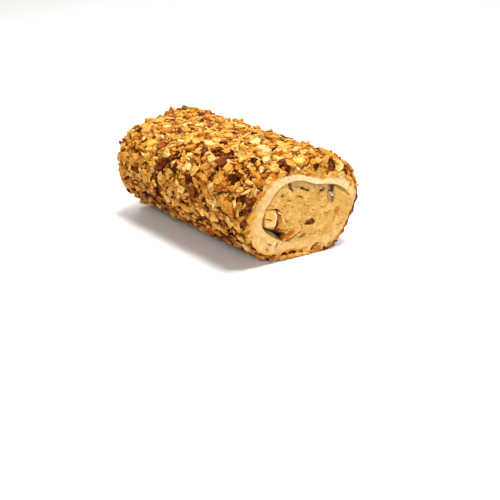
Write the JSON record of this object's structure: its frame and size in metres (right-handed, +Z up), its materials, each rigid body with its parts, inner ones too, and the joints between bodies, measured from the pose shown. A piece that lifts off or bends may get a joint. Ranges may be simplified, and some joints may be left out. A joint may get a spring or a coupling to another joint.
{
  "type": "turkish delight roll",
  "caption": "Roll of nougat round a nut filling, coated in chopped roasted hazelnuts, cut obliquely to length and resting on its flattened side.",
  "frame": {"origin": "centre of the bounding box, on the table that the roll lies on", "axes": "+X along the roll towards the oblique cut, +Y across it, +Z up"},
  "size_m": [0.0702, 0.043, 0.034],
  "materials": {
    "nut_crust": "chopped roasted hazelnuts, golden to dark brown, with a faint oily sheen",
    "nougat": "soft cream nougat, smooth where the knife cut it",
    "filling": "dense tan nut paste, slightly glazed by the knife, with small pits",
    "kernel_pale": "pale broken nut flesh",
    "kernel_roasted": "toasted orange-brown nut",
    "kernel_skin": "dark brown nut skin over pale flesh",
    "kernel_glazed": "dark, moist and slightly glossy piece of nut"
  },
  "bodies": {
    "root": {"nougat_with_nuts": "nut_crust", "nut_filling": "filling", "front_kernel_1": "kernel_pale", "front_kernel_2": "kernel_skin", "front_kernel_3": "kernel_roasted", "front_kernel_4": "kernel_skin", "front_kernel_5": "kernel_roasted", "front_kernel_6": "kernel_glazed", "back_kernel_1": "kernel_roasted", "back_kernel_2": "kernel_skin", "back_kernel_3": "kernel_pale", "back_kernel_4": "kernel_glazed"}
  },
  "joints": []
}
